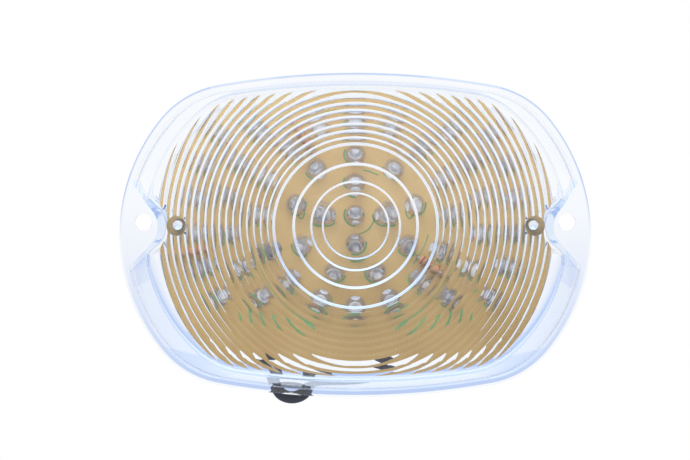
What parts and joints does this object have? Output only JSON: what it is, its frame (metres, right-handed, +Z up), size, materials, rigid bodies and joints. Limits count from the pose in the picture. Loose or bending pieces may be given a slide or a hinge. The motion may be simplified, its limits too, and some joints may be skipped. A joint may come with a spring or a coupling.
{
  "type": "motorcycle brake light",
  "caption": "Oval clear-lens LED brake light: ringed lens on two screw ears, board of clear LEDs behind it, short cable with a plug.",
  "frame": {"origin": "midway between the two lens screw holes, on the back face of the flange", "axes": "+Z up on the motorcycle, -Y out of the front of the lens, +X to the right seen from the front"},
  "size_m": [0.148, 0.0384, 0.1046],
  "materials": {
    "clear_lens": "clear moulded",
    "board": "satin",
    "clear_led": "clear",
    "resistor": "lacquered",
    "tinned_wire": "tinned",
    "screw_steel": "zinc",
    "black_plastic": "satin",
    "cable_sheath": "smooth",
    "contact_brass": "bright"
  },
  "bodies": {
    "root": {"lens": "clear_lens", "circuit_board": "board", "led_centre": "clear_led", "leds_ring_b": "clear_led", "leds_ring_c": "clear_led", "leds_ring_d": "clear_led", "leds_ring_e_left": "clear_led", "leds_ring_e_right": "clear_led", "leds_ring_f_left": "clear_led", "leds_ring_f_right": "clear_led", "resistor_upper": "resistor", "resistor_left": "resistor", "resistor_lower": "resistor", "resistor_upper_leads": "tinned_wire", "resistor_left_leads": "tinned_wire", "resistor_lower_leads": "tinned_wire", "board_screws": "screw_steel", "cable_anchor": "black_plastic", "cable_lead": "cable_sheath", "cable_coil": "cable_sheath", "cable_tail": "cable_sheath", "cable_tie": "black_plastic", "plug_housing": "black_plastic", "plug_contacts": "contact_brass"}
  },
  "joints": []
}
